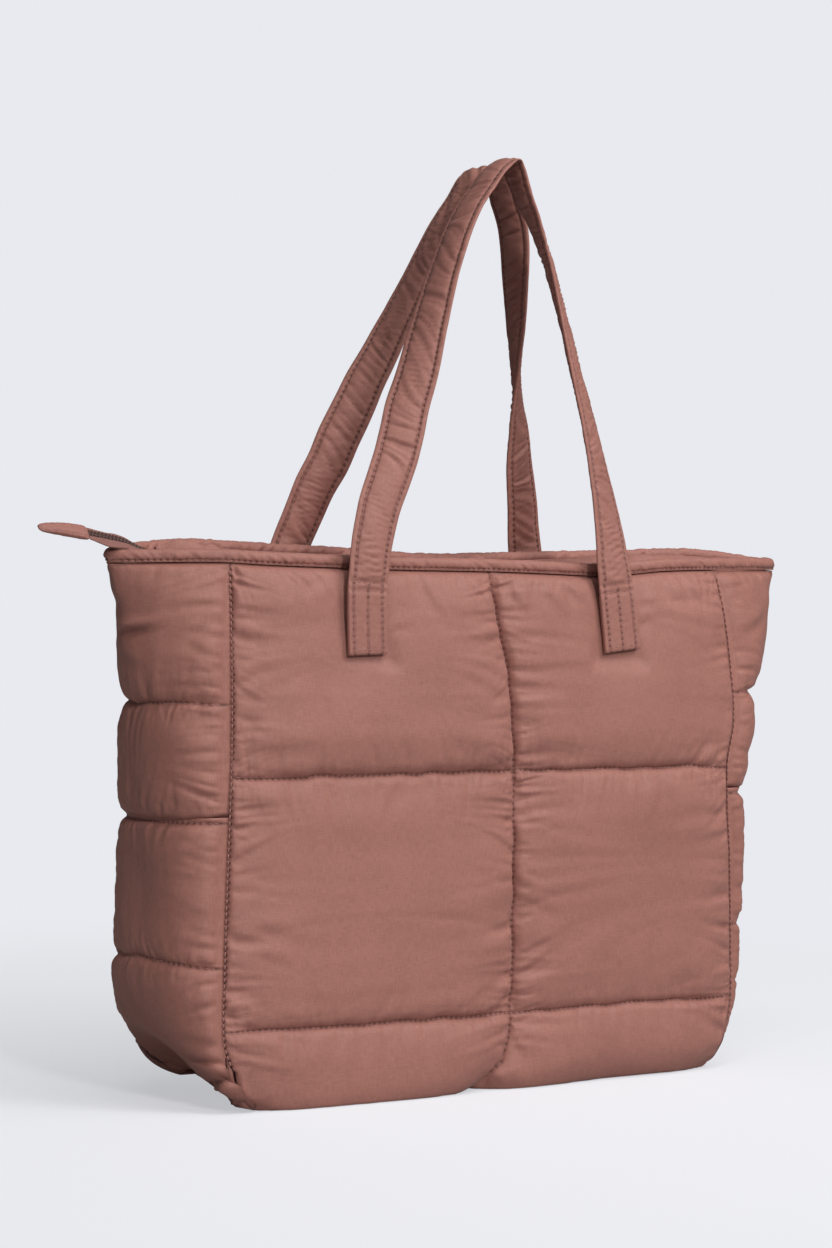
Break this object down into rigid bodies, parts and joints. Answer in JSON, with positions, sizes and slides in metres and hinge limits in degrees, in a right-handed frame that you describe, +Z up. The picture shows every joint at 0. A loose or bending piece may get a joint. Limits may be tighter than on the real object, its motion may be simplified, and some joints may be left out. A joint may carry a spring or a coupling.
{
  "type": "puffer tote bag",
  "caption": "Padded puffer tote bag with quilted panels, gusseted sides with slip pockets, a closed top zip with an end tab and two padded shoulder straps drawn up to a point.",
  "frame": {"origin": "middle of the flat base, on the ground", "axes": "+Z up, +Y from the front panel to the back panel, +X along the bag's length, away from the end with the zip tab"},
  "size_m": [0.559, 0.1424, 0.5931],
  "materials": {
    "shell_nylon": "matte woven nylon",
    "trim_nylon": "matte woven nylon",
    "strap_nylon": "matte woven nylon",
    "zip_tape": "matte woven tape",
    "zip_coil": "satin nylon coil"
  },
  "bodies": {
    "root": {"front_panel": "shell_nylon", "back_panel": "shell_nylon", "gusset_left": "shell_nylon", "gusset_right": "shell_nylon", "side_pocket_left": "shell_nylon", "side_pocket_right": "shell_nylon", "base_panel": "shell_nylon", "rim_binding": "trim_nylon", "zip_facing_front": "trim_nylon", "zip_facing_back": "trim_nylon", "zip_tape_front": "zip_tape", "zip_tape_back": "zip_tape", "zip_coil": "zip_coil", "zip_end_tab": "trim_nylon", "handle_front": "strap_nylon", "handle_back": "strap_nylon"}
  },
  "joints": []
}
